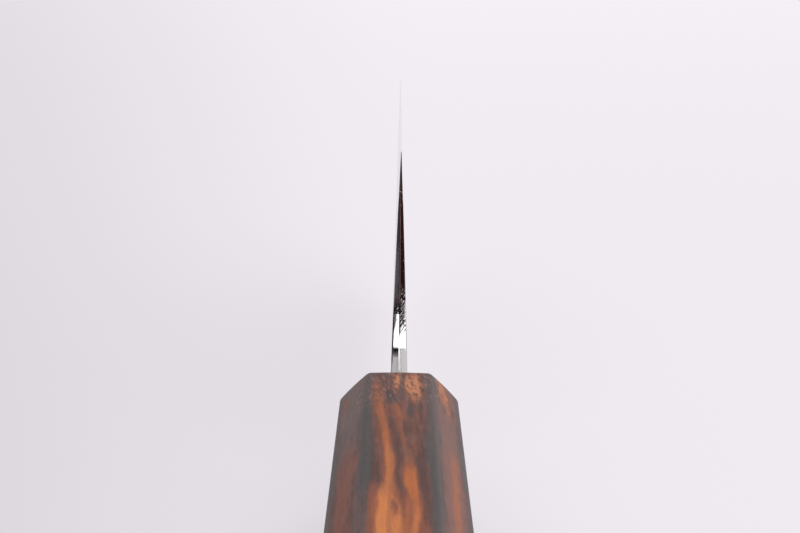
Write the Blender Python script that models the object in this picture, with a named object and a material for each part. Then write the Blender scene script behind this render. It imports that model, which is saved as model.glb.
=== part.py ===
# Bunka knife: a laminated blade with a clipped tip, on a hidden tang in an octagonal wooden handle.
#
# Metres, +Z up. The knife stands edge up: its tip points along +Y, its handle lies towards -Y,
# and its two sides mirror each other about X = 0. The origin lies on the ground, under the
# middle of the knife's length. In the outlines below, "along" is measured from the mouth of the
# handle towards the tip, and "up" from the handle's axis towards the cutting edge.

from math import cos, pi, radians, sin, tan

import bmesh
import bpy
from mathutils import Vector

# Handle: a straight octagon that widens towards the butt
HANDLE_LENGTH = 0.130
HANDLE_FRONT_WIDTH = 0.0192
HANDLE_FRONT_HEIGHT = 0.0230
HANDLE_FRONT_CHAMFER = 0.0046
HANDLE_BUTT_WIDTH = 0.0218
HANDLE_BUTT_HEIGHT = 0.0261
HANDLE_BUTT_CHAMFER = 0.0052
LONG_EDGE_EASE = 0.0005
END_EDGE_EASE = 0.0008

# Blade profile
EDGE_LENGTH = 0.165
HEEL_HEIGHT = 0.0500
TIP_DROP = 0.0135
BELLY_POWER = 2.3
CLIP_RUN = 0.0450
CLIP_CORNER_RADIUS = 0.0060

# Neck, choil and tang
NECK_HEIGHT = 0.0115
NECK_LENGTH = 0.0035
CHOIL_RADIUS = 0.0140
TANG_LENGTH = 0.092
TANG_END_HEIGHT = 0.0060

# Thickness of the forged billet, and of the core steel inside it
SPINE_THICKNESS = 0.00282
TIP_THICKNESS = 0.00120
CORE_THICKNESS = 0.00080
SPINE_EASE = 0.00028
MOST_EASE_SHARE = 0.8

# Grind: a wide, slightly convex bevel that ends in a fine cutting bevel
BEVEL_HEIGHT = 0.0370
BEVEL_CONVEXITY = 0.15
THICKNESS_BEHIND_EDGE = 0.00010
EDGE_HALF_ANGLE = radians(13)

# Bedding of the tang
BEDDING_WALL = 0.00075
BEDDING_END = 0.0040
BEDDING_RECESS = 0.0003
FIT_GAP = 0.0001

# Working lengths of the cutters and the fineness of the curves
OVERCUT = 0.005
ARC_STEPS = 14
CORNER_STEPS = 6
BELLY_STATIONS = 28
BEVEL_ROWS = 11
EASE_STEPS = 3
SMOOTH_ANGLE = radians(30)

# Places that follow from the sizes
HEEL_Y = NECK_LENGTH + CHOIL_RADIUS
TIP_Y = HEEL_Y + EDGE_LENGTH
SPINE_Z = -NECK_HEIGHT / 2
HEEL_Z = SPINE_Z + HEEL_HEIGHT
TIP_Z = HEEL_Z - TIP_DROP
CLIP_Y = TIP_Y - CLIP_RUN
MORTISE_END_Y = -(TANG_LENGTH + BEDDING_END)
BUTT_FLARE = (HANDLE_BUTT_HEIGHT - HANDLE_FRONT_HEIGHT) / 2 / HANDLE_LENGTH
AXIS_Z = HANDLE_BUTT_HEIGHT / 2 - BUTT_FLARE * END_EDGE_EASE
MOUTH_Y = (HANDLE_LENGTH - TIP_Y) / 2


def clear_scene():
    for found in list(bpy.data.objects):
        bpy.data.objects.remove(found, do_unlink=True)


def material(name, colour, roughness, metallic):
    made = bpy.data.materials.new(name)
    made.use_nodes = True
    made.diffuse_color = (*colour, 1.0)
    shader = made.node_tree.nodes["Principled BSDF"]
    shader.inputs["Base Color"].default_value = (*colour, 1.0)
    shader.inputs["Roughness"].default_value = roughness
    shader.inputs["Metallic"].default_value = metallic
    return made


def place(across, along, up):
    """A point given from the mouth and the axis of the handle, in the knife's own frame."""
    return Vector((across, MOUTH_Y + along, AXIS_Z + up))


def add_object(name, shape, finish=None):
    """Turns a bmesh into a named object. Without a finish it is a cutter, which never shows.

    The faces are triangles, because a twisted face with four corners has no one surface to cut.
    """
    bmesh.ops.recalc_face_normals(shape, faces=shape.faces[:])
    bmesh.ops.triangulate(shape, faces=shape.faces[:])
    mesh = bpy.data.meshes.new(name)
    shape.to_mesh(mesh)
    shape.free()
    made = bpy.data.objects.new(name, mesh)
    bpy.context.scene.collection.objects.link(made)
    if finish is None:
        made.hide_render = True
        made.display_type = "WIRE"
    else:
        mesh.materials.append(finish)
        mesh.shade_smooth()
        mesh.set_sharp_from_angle(angle=SMOOTH_ANGLE)
    return made


def boolean(target, cutter, operation):
    cut = target.modifiers.new(cutter.name, "BOOLEAN")
    cut.object = cutter
    cut.operation = operation
    cut.solver = "EXACT"


def loft(rings):
    """A closed bmesh through rings of equal counts of points, with a flat cap on each end."""
    shape = bmesh.new()
    loops = [[shape.verts.new(point) for point in ring] for ring in rings]
    count = len(loops[0])
    for near, far in zip(loops, loops[1:]):
        for i in range(count):
            j = (i + 1) % count
            shape.faces.new((near[i], near[j], far[j], far[i]))
    shape.faces.new(loops[0])
    shape.faces.new(reversed(loops[-1]))
    return shape


# Blade profile


def edge_up(along):
    """Height of the cutting edge: level at the heel, then a belly that falls to the tip."""
    share = max(0.0, (along - HEEL_Y) / EDGE_LENGTH)
    return HEEL_Z - TIP_DROP * share**BELLY_POWER


def billet_thickness(along):
    """Full thickness at the neck and tang, thinning evenly from the heel to the tip."""
    share = max(0.0, (along - HEEL_Y) / EDGE_LENGTH)
    return SPINE_THICKNESS + (TIP_THICKNESS - SPINE_THICKNESS) * share


def core_thickness(along):
    """The core thins together with the billet that it was forged in."""
    return CORE_THICKNESS * billet_thickness(along) / SPINE_THICKNESS


def tang_height(along):
    """The tang is as high as the neck at the mouth, and tapers to its end."""
    share = min(1.0, max(0.0, -along / TANG_LENGTH))
    return NECK_HEIGHT + (TANG_END_HEIGHT - NECK_HEIGHT) * share


def arc(centre, radius, start, end, steps):
    angles = [start + (end - start) * i / steps for i in range(steps + 1)]
    return [Vector((centre[0] + radius * cos(a), centre[1] + radius * sin(a))) for a in angles]


def rounded_corner(before, corner, after, radius, steps):
    """An arc that joins two straight lines where they would meet at a corner."""
    inward = (before - corner).normalized()
    outward = (after - corner).normalized()
    half_angle = inward.angle(outward) / 2
    reach = radius / tan(half_angle)
    centre = corner + (inward + outward).normalized() * radius / sin(half_angle)
    start = corner + inward * reach - centre
    end = corner + outward * reach - centre
    turn = start.angle_signed(end)
    first = Vector((1, 0)).angle_signed(start)
    # Vector.angle_signed is positive clockwise, so the angles are taken with a minus
    return arc(centre, radius, -first, -(first + turn), steps)


def blade_outline():
    """The profile as two loops of (along, up) that share the line from the spine to the choil.

    The first goes round the tang and the choil, and the second round the blade. The blade's
    runs past the cutting edge by the overcut, because the grind makes the edge itself.
    """
    tip = Vector((TIP_Y, TIP_Z))
    clip_foot = Vector((CLIP_Y, SPINE_Z))
    top = HEEL_Z + OVERCUT
    clip_top = tip + (tip - clip_foot) * (top - TIP_Z) / (TIP_Z - SPINE_Z)
    heel_foot = Vector((HEEL_Y, SPINE_Z))
    choil_centre = (HEEL_Y - CHOIL_RADIUS, NECK_HEIGHT / 2 + CHOIL_RADIUS)
    choil = arc(choil_centre, CHOIL_RADIUS, 0, -pi / 2, ARC_STEPS)
    tang = [
        Vector((-TANG_LENGTH, -TANG_END_HEIGHT / 2)),
        Vector((0, SPINE_Z)),
        heel_foot,
        *choil,
        Vector((0, NECK_HEIGHT / 2)),
        Vector((-TANG_LENGTH, TANG_END_HEIGHT / 2)),
    ]
    blade = [
        heel_foot,
        *rounded_corner(heel_foot, clip_foot, clip_top, CLIP_CORNER_RADIUS, CORNER_STEPS),
        clip_top,
        Vector((HEEL_Y, top)),
        choil[0],
    ]
    return tang, blade


# Blade layers


def layer(inner_half, outer_half, side, eased):
    """One layer of the billet, cut to the profile, between two planes that the taper gives.

    Both planes are functions of the distance along the knife. They bend at the heel, where
    the two loops of the profile meet.
    """
    shape = bmesh.new()
    corners = {}
    for loop in blade_outline():
        places = [tuple(point) for point in loop]
        for along, up in places:
            if (along, up) not in corners:
                corners[along, up] = shape.verts.new((0, along, up))
        shape.faces.new([corners[there] for there in places])
    near = set(shape.verts)
    bmesh.ops.extrude_face_region(shape, geom=shape.faces[:], use_keep_orig=True)
    for vert in shape.verts:
        half = inner_half if vert in near else outer_half
        vert.co.x = side * half(vert.co.y)
    if eased:
        walls = {face for face in shape.faces if len({v in near for v in face.verts}) == 2}
        outer = [edge for edge in shape.edges if not any(vert in near for vert in edge.verts)]
        rim = [edge for edge in outer if any(face in walls for face in edge.link_faces)]
        thinnest = min(outer_half(along) - inner_half(along) for along, _ in corners)
        ease = min(SPINE_EASE, MOST_EASE_SHARE * thinnest)
        bmesh.ops.bevel(
            shape, geom=rim, offset=ease, segments=EASE_STEPS, profile=0.5, affect="EDGES"
        )
    for vert in shape.verts:
        vert.co = place(*vert.co)
    return shape


def grind_ring(along):
    """A section of the ground form: cutting bevel, wide convex bevel, and on past the flat.

    The wide bevel reaches a share of the blade's height, and its half thickness grows with
    depth q as q (1 + k (1 - q)), where q is 0 behind the edge and 1 at the top of the bevel.
    """
    top = edge_up(along)
    half_behind = THICKNESS_BEHIND_EDGE / 2
    cutting = half_behind / tan(EDGE_HALF_ANGLE)
    reach = BEVEL_HEIGHT * (top - SPINE_Z) / HEEL_HEIGHT - cutting
    gain = billet_thickness(along) / 2 - half_behind
    side = [(half_behind, top - cutting)]
    bottom = SPINE_Z - OVERCUT
    depth = (top - cutting - bottom) / reach
    for row in range(1, BEVEL_ROWS + 1):
        q = depth * row / BEVEL_ROWS
        swell = q * (1 + BEVEL_CONVEXITY * (1 - q))
        side.append((half_behind + gain * swell, top - cutting - reach * q))
    ring = [(0, top), *side, *[(-half, up) for half, up in reversed(side)]]
    return [place(half, along, up) for half, up in ring]


def ground_form():
    """The room that grinding leaves: the blade is what of the billet lies inside it."""
    belly = [HEEL_Y + EDGE_LENGTH * i / BELLY_STATIONS for i in range(BELLY_STATIONS + 1)]
    stations = [-TANG_LENGTH - OVERCUT, *belly, TIP_Y + OVERCUT]
    return loft([grind_ring(along) for along in stations])


def make_blade():
    grind = add_object("grind_form", ground_form())

    def flat(along):
        return billet_thickness(along) / 2

    def weld(along):
        return core_thickness(along) / 2

    def other_weld(along):
        return -core_thickness(along) / 2

    core_steel = material("core_steel", (0.36, 0.36, 0.38), 0.22, 1.0)
    cladding_steel = material("cladding_steel", (0.52, 0.52, 0.54), 0.30, 1.0)
    parts = [add_object("blade_core", layer(other_weld, weld, 1, False), core_steel)]
    for name, side in (("cladding_left", -1), ("cladding_right", 1)):
        parts.append(add_object(name, layer(weld, flat, side, True), cladding_steel))
    for part in parts:
        boolean(part, grind, "INTERSECT")


# Handle and bedding


def octagon(width, height, chamfer):
    across, up = width / 2, height / 2
    corner = [(across - chamfer, up), (across, up - chamfer)]
    right = corner + [(x, -z) for x, z in reversed(corner)]
    return right + [(-x, z) for x, z in reversed(right)]


def rounded_slot(width, height, along):
    """A slot with half-round ends, as two drilled holes and the web between them leave."""
    radius = width / 2
    straight = height / 2 - radius
    top = arc((0, straight), radius, 0, pi, CORNER_STEPS)
    bottom = arc((0, -straight), radius, pi, 2 * pi, CORNER_STEPS)
    return [place(x, along, z) for x, z in top + bottom]


def tang_slot(margin, start, end):
    """A loft round the tang at an even margin, between two places along the handle."""
    width = SPINE_THICKNESS + 2 * margin
    places = [start, 0.0, end] if start > 0 else [start, end]
    return loft([rounded_slot(width, tang_height(a) + 2 * margin, a) for a in places])


def tang_socket():
    """The tang with its fit gap, to be taken out of the bedding."""
    rings = []
    for along in (OVERCUT, 0.0, -TANG_LENGTH - FIT_GAP):
        across = SPINE_THICKNESS / 2 + FIT_GAP
        up = tang_height(along) / 2 + FIT_GAP
        corners = [(across, up), (-across, up), (-across, -up), (across, -up)]
        rings.append([place(x, along, z) for x, z in corners])
    return loft(rings)


def make_handle():
    front = octagon(HANDLE_FRONT_WIDTH, HANDLE_FRONT_HEIGHT, HANDLE_FRONT_CHAMFER)
    butt = octagon(HANDLE_BUTT_WIDTH, HANDLE_BUTT_HEIGHT, HANDLE_BUTT_CHAMFER)
    shape = loft([
        [place(x, 0, z) for x, z in front],
        [place(x, -HANDLE_LENGTH, z) for x, z in butt],
    ])
    weight = shape.edges.layers.float.new("bevel_weight_edge")
    for edge in shape.edges:
        lengthwise = abs(edge.verts[0].co.y - edge.verts[1].co.y) > HANDLE_LENGTH / 2
        edge[weight] = LONG_EDGE_EASE / END_EDGE_EASE if lengthwise else 1.0
    wood = material("handle_wood", (0.24, 0.14, 0.10), 0.42, 0.0)
    handle = add_object("handle", shape, wood)
    ease = handle.modifiers.new("eased_edges", "BEVEL")
    ease.limit_method = "WEIGHT"
    ease.width = END_EDGE_EASE
    ease.segments = EASE_STEPS
    margin = FIT_GAP + BEDDING_WALL + FIT_GAP
    mortise = add_object("mortise", tang_slot(margin, OVERCUT, MORTISE_END_Y))
    boolean(handle, mortise, "DIFFERENCE")


def make_bedding():
    resin = material("bedding_resin", (0.09, 0.06, 0.04), 0.35, 0.0)
    shape = tang_slot(FIT_GAP + BEDDING_WALL, -BEDDING_RECESS, MORTISE_END_Y + FIT_GAP)
    bedding = add_object("tang_bedding", shape, resin)
    boolean(bedding, add_object("tang_socket", tang_socket()), "DIFFERENCE")


clear_scene()
make_blade()
make_handle()
make_bedding()
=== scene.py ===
# %% [markdown]
# A bunka knife, seen from behind the butt of its handle
#
# The packed model gives the knife as a fixed frame: its sizes, its places and its five pieces.
# This lesson dresses that frame. It makes finer surfaces for the handle and for the three layers
# of the blade, gives each piece a worked-out finish, and lights and frames the knife as in a small
# product studio. Everything is in metres, with the tip along +Y and the cutting edge upwards.

# %% Load the frame
from math import radians

import bmesh
import bpy
import numpy as np
from mathutils import Matrix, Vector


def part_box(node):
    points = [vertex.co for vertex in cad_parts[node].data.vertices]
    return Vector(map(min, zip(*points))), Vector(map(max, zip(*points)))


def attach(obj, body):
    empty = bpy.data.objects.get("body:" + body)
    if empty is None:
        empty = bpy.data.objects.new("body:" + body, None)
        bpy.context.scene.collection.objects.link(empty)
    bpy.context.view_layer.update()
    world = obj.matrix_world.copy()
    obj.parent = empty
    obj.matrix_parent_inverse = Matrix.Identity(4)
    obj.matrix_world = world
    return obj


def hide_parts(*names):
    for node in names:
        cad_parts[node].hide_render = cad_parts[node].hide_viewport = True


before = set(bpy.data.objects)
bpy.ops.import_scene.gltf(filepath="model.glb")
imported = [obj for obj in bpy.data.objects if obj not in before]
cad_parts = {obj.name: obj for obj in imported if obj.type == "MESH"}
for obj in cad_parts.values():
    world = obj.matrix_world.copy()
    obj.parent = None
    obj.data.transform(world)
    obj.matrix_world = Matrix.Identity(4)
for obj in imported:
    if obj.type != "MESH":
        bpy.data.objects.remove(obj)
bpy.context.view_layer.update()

# %% [markdown]
# The handle's box tells where its mouth is, where the blade comes out, and how high its axis lies,
# because the handle is the same above and below its axis. All outlines below are given as
# "across", "along" from the mouth towards the tip, and "up" from the axis towards the edge.

# %% Mouth and axis of the handle
MM = 0.001
handle_low, handle_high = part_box("handle")
MOUTH_Y = handle_high.y
AXIS_Z = (handle_low.z + handle_high.z) / 2
HANDLE_LENGTH = handle_high.y - handle_low.y


def place(across, along, up):
    """Points in the knife's frame: across stays, along starts at the mouth, up at the axis."""
    across, along, up = np.broadcast_arrays(across, along, up)
    return np.stack([across, along + MOUTH_Y, up + AXIS_Z], axis=-1)


print(f"mouth at y {MOUTH_Y:.5f}, axis at z {AXIS_Z:.5f}, handle {HANDLE_LENGTH:.4f} long")

# %% [markdown]
# Each new piece is a set of patches. A patch is a grid of points, worked out as one array, and
# neighbouring patches end on the same points. Welding those points closes the piece, and it also
# closes the places where a layer of steel thins out to nothing. Modifiers on a box could round the
# knife as well, but a worked-out grid puts every point where the real surface lies.

# %% From patches to a closed piece
WELD_DISTANCE = 2e-7
SHARP_ANGLE = radians(35)


def add_object(name, data):
    """A mesh, camera or light does nothing alone: an object places it in the scene."""
    made = bpy.data.objects.new(name, data)
    bpy.context.scene.collection.objects.link(made)
    return made


def grid_faces(rows, columns, first):
    """Corners of the quads of a grid: each point with its right, upper right and upper one."""
    index = first + np.arange(rows * columns).reshape(rows, columns)
    quads = [index[:-1, :-1], index[1:, :-1], index[1:, 1:], index[:-1, 1:]]
    return np.stack(quads, axis=-1).reshape(-1, 4)


def make_piece(name, patches):
    """One closed object from pairs of points (rows, columns, 3) and marks (rows, columns).

    The points are welded where patches meet. The marks are an attribute that the finish reads.
    """
    points = np.concatenate([grid.reshape(-1, 3) for grid, _ in patches])
    marks = np.concatenate([mark.ravel() for _, mark in patches]).astype(np.float32)
    firsts = np.cumsum([0] + [mark.size for _, mark in patches])
    faces = np.concatenate([
        grid_faces(*mark.shape, first) for (_, mark), first in zip(patches, firsts)
    ])
    mesh = bpy.data.meshes.new(name)
    mesh.from_pydata(points.tolist(), [], faces.tolist())
    mesh.attributes.new("mark", "FLOAT", "POINT").data.foreach_set("value", marks)
    shape = bmesh.new()
    shape.from_mesh(mesh)
    bmesh.ops.remove_doubles(shape, verts=shape.verts[:], dist=WELD_DISTANCE)
    holes = [edge for edge in shape.edges if edge.is_boundary]
    if holes:
        bmesh.ops.holes_fill(shape, edges=holes, sides=0)
    bmesh.ops.recalc_face_normals(shape, faces=shape.faces[:])
    open_edges = sum(not edge.is_manifold for edge in shape.edges)
    volume = shape.calc_volume(signed=True)
    shape.to_mesh(mesh)
    shape.free()
    mesh.shade_smooth()
    mesh.set_sharp_from_angle(angle=SHARP_ANGLE)
    print(f"{name}: {len(mesh.polygons)} faces, {open_edges} open edges, {volume / MM**3:.0f} mm3")
    return add_object(name, mesh)


print("a patch of 3 by 4 points has", len(grid_faces(3, 4, 0)), "faces")

# %% [markdown]
# The camera stands behind the butt, a little above the knife, and looks along it towards the tip.
# A long lens keeps the far tip nearly as large as the near handle. Its place is given from the
# middle of the front edge of the handle's top facet, because that edge is easy to find again.

# %% Camera
HANDLE_FRONT_HEIGHT = 23.0 * MM
CAMERA_BACK = 383.4 * MM
CAMERA_ABOVE = 105.7 * MM
CAMERA_ASIDE = -1.0 * MM
CAMERA_PITCH = radians(12.986)
CAMERA_YAW = radians(0.140)
CAMERA_ROLL = radians(0.6)
CAMERA_LENS = 111.3
CAMERA_CLIP = 10 * MM
UPRIGHT = radians(90)


def add_camera():
    """Forward is level along +Y, turned by the yaw and then tipped down by the pitch."""
    data = bpy.data.cameras.new("camera")
    data.lens = CAMERA_LENS
    data.clip_start = CAMERA_CLIP
    camera = add_object("camera", data)
    turned = Matrix.Rotation(-CAMERA_YAW, 4, "Z") @ Matrix.Rotation(UPRIGHT - CAMERA_PITCH, 4, "X")
    top = AXIS_Z + HANDLE_FRONT_HEIGHT / 2 + CAMERA_ABOVE
    eye = Matrix.Translation((CAMERA_ASIDE, MOUTH_Y - CAMERA_BACK, top))
    camera.matrix_world = eye @ turned @ Matrix.Rotation(CAMERA_ROLL, 4, "Z")
    bpy.context.scene.camera = camera
    print("camera at", tuple(round(value, 4) for value in camera.location))


add_camera()

# %% [markdown]
# Floor, sky and finishes are node trees. Written node by node they are long and hard to follow, so
# a helper turns them into sums. A Field is one output socket of a tree, and plus, minus and times
# between fields add the math nodes that work it out.

# %% Fields
class Field:
    """A value that varies from place to place. Sums and products of fields are fields again."""

    def __init__(self, nodes, socket):
        self.nodes = nodes
        self.socket = socket

    def __add__(self, other):
        return self.nodes.math("ADD", self, other)

    def __sub__(self, other):
        return self.nodes.math("SUBTRACT", self, other)

    def __rsub__(self, other):
        return self.nodes.math("SUBTRACT", other, self)

    def __mul__(self, other):
        return self.nodes.math("MULTIPLY", self, other)

    def __abs__(self):
        return self.nodes.math("ABSOLUTE", self)

    __radd__ = __add__
    __rmul__ = __mul__


print("between fields, and between a field and a number: + - *, and abs() of a field")

# %% [markdown]
# Nodes holds one tree and the calls that start, shape or mix a field. Each call adds a node that
# the shader editor shows too, so the tree can also be looked at and changed there by hand.

# %% Nodes of a tree
class Nodes:
    """One node tree. A value for a node is a field, a number, or a colour or vector."""

    def __init__(self, tree):
        self.tree = tree

    def plug(self, socket, value):
        """Links a field to an input, or writes a plain value into it. Colours are made opaque."""
        if isinstance(value, Field):
            self.tree.links.new(value.socket, socket)
        elif socket.type == "RGBA":
            socket.default_value = (*value, 1.0)
        else:
            socket.default_value = value

    def set(self, node, **inputs):
        """Inputs of a node that the tree already has, with _ for the spaces in their names."""
        for key, value in inputs.items():
            self.plug(self.tree.nodes[node].inputs[key.replace("_", " ")], value)

    def node(self, kind, output=0, inputs=(), **settings):
        """A new node with its settings, and the field of one of its outputs."""
        made = self.tree.nodes.new("ShaderNode" + kind)
        for key, value in settings.items():
            setattr(made, key, value)
        for key, value in dict(inputs).items():
            self.plug(made.inputs[key], value)
        return Field(self, made.outputs[output])

    def math(self, operation, *values):
        """A number from numbers, by the name that Blender gives the operation."""
        return self.node("Math", 0, enumerate(values), operation=operation)

    def vector(self, operation, *values):
        """A vector from vectors, or from a vector and the number it is scaled by."""
        inputs = dict(enumerate(values))
        if operation == "SCALE":
            inputs["Scale"] = inputs.pop(1)
        return self.node("VectorMath", 0, inputs, operation=operation)

    def split(self, vector):
        """The x, y and z of a vector, as three fields."""
        first = self.node("SeparateXYZ", 0, {0: vector})
        return [Field(self, output) for output in first.socket.node.outputs]

    def smooth(self, value, low, high):
        """A soft step from 0 at low to 1 at high, also where low is the larger of the two."""
        ends = {"Value": value, "From Min": low, "From Max": high}
        return self.node("MapRange", "Result", ends, interpolation_type="SMOOTHSTEP")

    def mix(self, share, first, second):
        """The first colour times (1 - share), plus the second times the share."""
        colours = {"Factor": share, "A": first, "B": second}
        return self.node("Mix", "Result", colours, data_type="RGBA")


print("calls of a node tree:", [name for name in vars(Nodes) if name[0] != "_"])

# %% [markdown] The studio is made of flat sheets: the floor, and later the cloths and cards that
# the steel mirrors. They are painted dull, so that they add no shine of their own.

# %% Paint and sheets of the studio
PAINT_ROUGHNESS = 0.9


def plain_material(name, colour, glow=0.0):
    """Dull paint, which can also glow in its own colour."""
    made = bpy.data.materials.new(name)
    made.use_nodes = True
    Nodes(made.node_tree).set(
        "Principled BSDF", Base_Color=colour, Roughness=PAINT_ROUGHNESS,
        Specular_IOR_Level=0.0, Emission_Color=colour, Emission_Strength=glow
    )
    return made


def sheet(name, corners, material):
    """A flat stage piece through rows of corners, not a part of the knife."""
    points = np.array(corners, float)
    mesh = bpy.data.meshes.new(name)
    faces = grid_faces(*points.shape[:2], 0)
    mesh.from_pydata(points.reshape(-1, 3).tolist(), [], faces.tolist())
    mesh.materials.append(material)
    made = add_object(name, mesh)
    return made


print("the paint of the studio has roughness", PAINT_ROUGHNESS)

# %% [markdown]
# The floor is pale and lilac and runs on to the horizon. A painted shade makes it a little darker on the
# left, and a painted light makes it a little paler far away. It is partly a glow of its own, for the
# camera and for reflections, so it stays pale and still keeps a faint shadow of the knife. More light
# would make it pale too, but it would bleach the knife.

# %% Floor
FLOOR_LEFT = (0.75, 0.718, 0.753)
FLOOR_RIGHT = (0.897, 0.857, 0.907)
FLOOR_FAN_Y = -0.41
FLOOR_FAN_LEAST = 0.20
FLOOR_PAINTED_SHADE = (-0.21, 0.02)
FLOOR_GLOW = 0.65
FLOOR_NEAR = (-0.03, 0.957)
FLOOR_FAR = (0.67, 1.08)
FLOOR_SIZE = 8.0


def seen_rays(nodes):
    """1 for the camera's rays and for what a mirror or glass shows, 0 for light that spreads."""
    seen = nodes.node("LightPath", "Is Camera Ray")
    for ray in ("Is Glossy Ray", "Is Transmission Ray"):
        seen = seen + nodes.node("LightPath", ray)
    return nodes.math("MINIMUM", seen, 1.0)


def floor_material():
    """Lit paper mixed with a glow of the same colour, which only camera and mirror rays see.

    The painted shade fans out from a point behind the knife: it depends on x / (y - y of that point), with
    the distance not allowed to fall below a least one. The colour is also scaled along y by a painted
    light, from the share at FLOOR_NEAR's y to the share at FLOOR_FAR's, paler far away.
    """
    made = plain_material("floor", FLOOR_RIGHT)
    nodes = Nodes(made.node_tree)
    x, y, _ = nodes.split(nodes.node("TexCoord", "Object"))
    # Painted shade makes the floor darker on the left, and painted light makes it paler far away.
    fan = nodes.math("DIVIDE", x, nodes.math("MAXIMUM", y - FLOOR_FAN_Y, FLOOR_FAN_LEAST))
    colour = nodes.mix(nodes.smooth(fan, *FLOOR_PAINTED_SHADE), FLOOR_LEFT, FLOOR_RIGHT)
    ends = dict(zip(("From Min", "To Min", "From Max", "To Max"), FLOOR_NEAR + FLOOR_FAR))
    colour = nodes.vector("SCALE", colour, nodes.node("MapRange", "Result", {"Value": y, **ends}))
    nodes.set("Principled BSDF", Base_Color=colour)
    lit = Field(nodes, made.node_tree.nodes["Principled BSDF"].outputs[0])
    glow = nodes.node("Emission", 0, {"Color": colour})
    both = nodes.node("MixShader", 0, {0: seen_rays(nodes) * FLOOR_GLOW, 1: lit, 2: glow})
    nodes.set("Material Output", Surface=both)
    return made


def add_floor():
    """A square with the knife in its middle."""
    half = FLOOR_SIZE / 2
    corners = [[(-half, -half, 0), (half, -half, 0)], [(-half, half, 0), (half, half, 0)]]
    sheet("floor", corners, floor_material())


add_floor()
print("floor of", FLOOR_SIZE, "m")

# %% [markdown]
# The sky is the world's colour, pale like the floor and a little darker on the left. One broad
# soft light stands behind and above the camera, as a window would, and lights the top of the
# handle. A sun would be simpler, but it would draw hard shadows and a hard gloss on the steel.

# %% Sky and soft light
SKY_LEFT = (0.60, 0.585, 0.585)
SKY_RIGHT = (0.89, 0.875, 0.885)
SKY_TURN = 0.5
SOFT_LIGHT_DISTANCE = 0.90
SOFT_LIGHT_ELEVATION = radians(31)
SOFT_LIGHT_TURN = radians(8)
SOFT_LIGHT_WIDTH = 1.50
SOFT_LIGHT_HEIGHT = 1.00
SOFT_LIGHT_RADIANCE = 1.62


def add_sky():
    """The colour turns with x, the sideways part of the direction in which a ray leaves."""
    world = bpy.data.worlds.new("sky")
    bpy.context.scene.world = world
    world.use_nodes = True
    nodes = Nodes(world.node_tree)
    x = nodes.split(nodes.node("TexCoord", "Generated"))[0]
    colour = nodes.mix(nodes.smooth(x, -SKY_TURN, SKY_TURN), SKY_LEFT, SKY_RIGHT)
    nodes.set("Background", Color=colour, Strength=1.0)


def add_soft_light():
    """Watts for a wanted radiance: radiance times pi times the area of the light."""
    data = bpy.data.lights.new("soft_light", "AREA")
    data.shape = "RECTANGLE"
    data.size = SOFT_LIGHT_WIDTH
    data.size_y = SOFT_LIGHT_HEIGHT
    data.energy = SOFT_LIGHT_RADIANCE * np.pi * SOFT_LIGHT_WIDTH * SOFT_LIGHT_HEIGHT
    light = add_object("soft_light", data)
    aim = Matrix.Translation((0, MOUTH_Y, AXIS_Z))
    round_knife = Matrix.Rotation(SOFT_LIGHT_TURN, 4, "Z")
    tip_down = Matrix.Rotation(UPRIGHT - SOFT_LIGHT_ELEVATION, 4, "X")
    light.matrix_world = aim @ round_knife @ tip_down @ Matrix.Translation((0, 0, SOFT_LIGHT_DISTANCE))
    light.visible_camera = False
    print(f"soft light {data.energy:.2f} W at", tuple(round(value, 3) for value in light.location))


add_sky()
add_soft_light()

# %% [markdown]
# Polished steel shows what stands round it, so the choil needs dark and bright things to look at.
# Studios hang black cloth and white card for that. Only reflections see these sheets. A dark cloth
# lies under and behind the handle, with a grey and a dull one further left, and a stand that gets
# narrower upwards behind it. A screen on the left calms the gloss of the handle's left side.
# Overhead hang a flag that gets paler towards the front, a thin rod on the right and a slim white
# card between them. The rows of the stand are (up, left, right), those overhead (y, left, right).

# %% Dark sheets for the reflections
NEAR_CLOTH_Y = -0.02
FAR_CLOTH_Y = -0.46
DULL_CLOTH_TOP = 0.12
DARK_CLOTH_TOP = 0.165
CLOTH_EDGE = 0.30
CLOTH_SEAM_Y = -0.180
DARK_CLOTH_LEFT = -0.031
DARK_CLOTH = (0.022, 0.012, 0.013)
GREY_CLOTH = (0.115, 0.110, 0.120)
DULL_CLOTH = (0.050, 0.043, 0.050)
STAND_COLOUR = (0.02, 0.018, 0.02)
STAND = [(0.0, -0.065, 0.20), (0.34, -0.075, 0.115), (0.47, -0.005, 0.03)]
SCREEN_COLOUR = (0.05, 0.048, 0.05)
SCREEN_X = -0.30
SCREEN_HEIGHT = 0.45
SCREEN_NEAR_Y = 0.02
FLAG_HEIGHT = 0.50
FLAG_SIDES = (-0.30, -0.09)
FLAG_ENDS = (-0.300, -0.252, -0.230, -0.210, -0.190, -0.170)
FLAG_GREYS = (0.02, 0.07, 0.14, 0.25, 0.38)
ROD = [(-0.300, 0.02, 0.30), (-0.284, 0.02, 0.30)]
CARD = [(-0.300, -0.085, 0.010), (-0.170, -0.055, 0.012), (-0.090, -0.030, 0.015), (0, -0.025, 0.015)]
CARD_COLOUR = (1.0, 0.99, 0.97)
CARD_GLOW = 1.7


def mirrored_sheet(name, corners, colour, glow=0.0):
    """A sheet that only reflections see, dark or with a glow of its own."""
    made = sheet(name, corners, plain_material(name, colour, glow))
    for ray in ("camera", "diffuse", "shadow", "transmission"):
        setattr(made, "visible_" + ray, False)


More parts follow.
